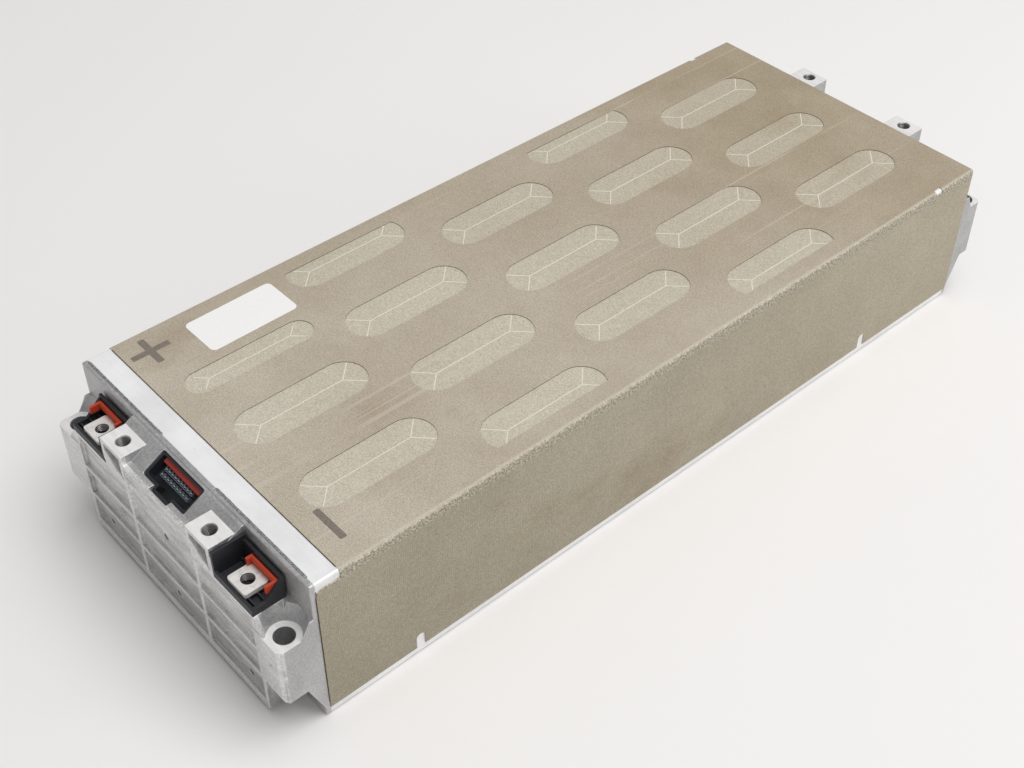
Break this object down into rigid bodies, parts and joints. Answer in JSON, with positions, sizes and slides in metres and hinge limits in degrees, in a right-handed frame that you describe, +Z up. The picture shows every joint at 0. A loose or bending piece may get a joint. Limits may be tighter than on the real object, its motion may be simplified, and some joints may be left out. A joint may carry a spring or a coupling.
{
  "type": "electric vehicle battery module",
  "caption": "Long welded aluminium battery module with a ribbed cast end plate at each end, bolt ears, posts, two shrouded terminals, a keyed signal socket and a khaki insulation cover.",
  "frame": {"origin": "middle of the footprint, on the floor", "axes": "+Z up, +Y towards the rear end plate, +X across the module towards the minus terminal"},
  "size_m": [0.225, 0.59, 0.108],
  "materials": {
    "cast_aluminium": "satin die cast, machined pads",
    "sheet_aluminium": "bright mill finish",
    "insulation": "woven glass fibre sheet, matte khaki",
    "black_plastic": "moulded, fine grain",
    "orange_plastic": "moulded, semi gloss",
    "red_plastic": "moulded, semi gloss",
    "terminal_metal": "plated, satin",
    "contact_metal": "tinned",
    "cell_pouch": "aluminium laminate pouch",
    "foam": "closed cell foam",
    "gap_filler": "cured paste",
    "frame_plastic": "moulded, natural",
    "clear_film": "milky sheet",
    "flex_film": "amber film"
  },
  "bodies": {
    "root": {"cell_01": "cell_pouch", "cell_02": "cell_pouch", "cell_03": "cell_pouch", "cell_04": "cell_pouch", "cell_05": "cell_pouch", "cell_06": "cell_pouch", "cell_07": "cell_pouch", "cell_08": "cell_pouch", "cell_09": "cell_pouch", "cell_10": "cell_pouch", "cell_11": "cell_pouch", "cell_12": "cell_pouch", "cell_13": "cell_pouch", "cell_14": "cell_pouch", "cell_15": "cell_pouch", "cell_16": "cell_pouch", "cell_17": "cell_pouch", "cell_18": "cell_pouch", "cell_19": "cell_pouch", "cell_20": "cell_pouch", "cell_21": "cell_pouch", "cell_22": "cell_pouch", "cell_23": "cell_pouch", "cell_24": "cell_pouch", "centre_pad": "foam", "front_busbar_1": "terminal_metal", "front_busbar_2": "terminal_metal", "front_busbar_3": "terminal_metal", "front_busbar_frame": "frame_plastic", "front_end_plate": "cast_aluminium", "front_insulator": "clear_film", "gap_filler": "gap_filler", "insulation_cover": "insulation", "minus_busbar": "terminal_metal", "minus_terminal_block": "terminal_metal", "minus_terminal_guard": "orange_plastic", "minus_terminal_housing": "black_plastic", "plus_busbar": "terminal_metal", "plus_terminal_block": "terminal_metal", "plus_terminal_guard": "orange_plastic", "plus_terminal_housing": "black_plastic", "rear_busbar_1": "terminal_metal", "rear_busbar_2": "terminal_metal", "rear_busbar_3": "terminal_metal", "rear_busbar_4": "terminal_metal", "rear_busbar_frame": "frame_plastic", "rear_end_plate": "cast_aluminium", "rear_insulator": "clear_film", "sensing_flex": "flex_film", "side_pad_left": "foam", "side_pad_right": "foam", "signal_connector_contacts": "contact_metal", "signal_connector_housing": "black_plastic", "signal_connector_lock": "red_plastic", "top_plate": "sheet_aluminium", "u_frame": "sheet_aluminium"}
  },
  "joints": []
}
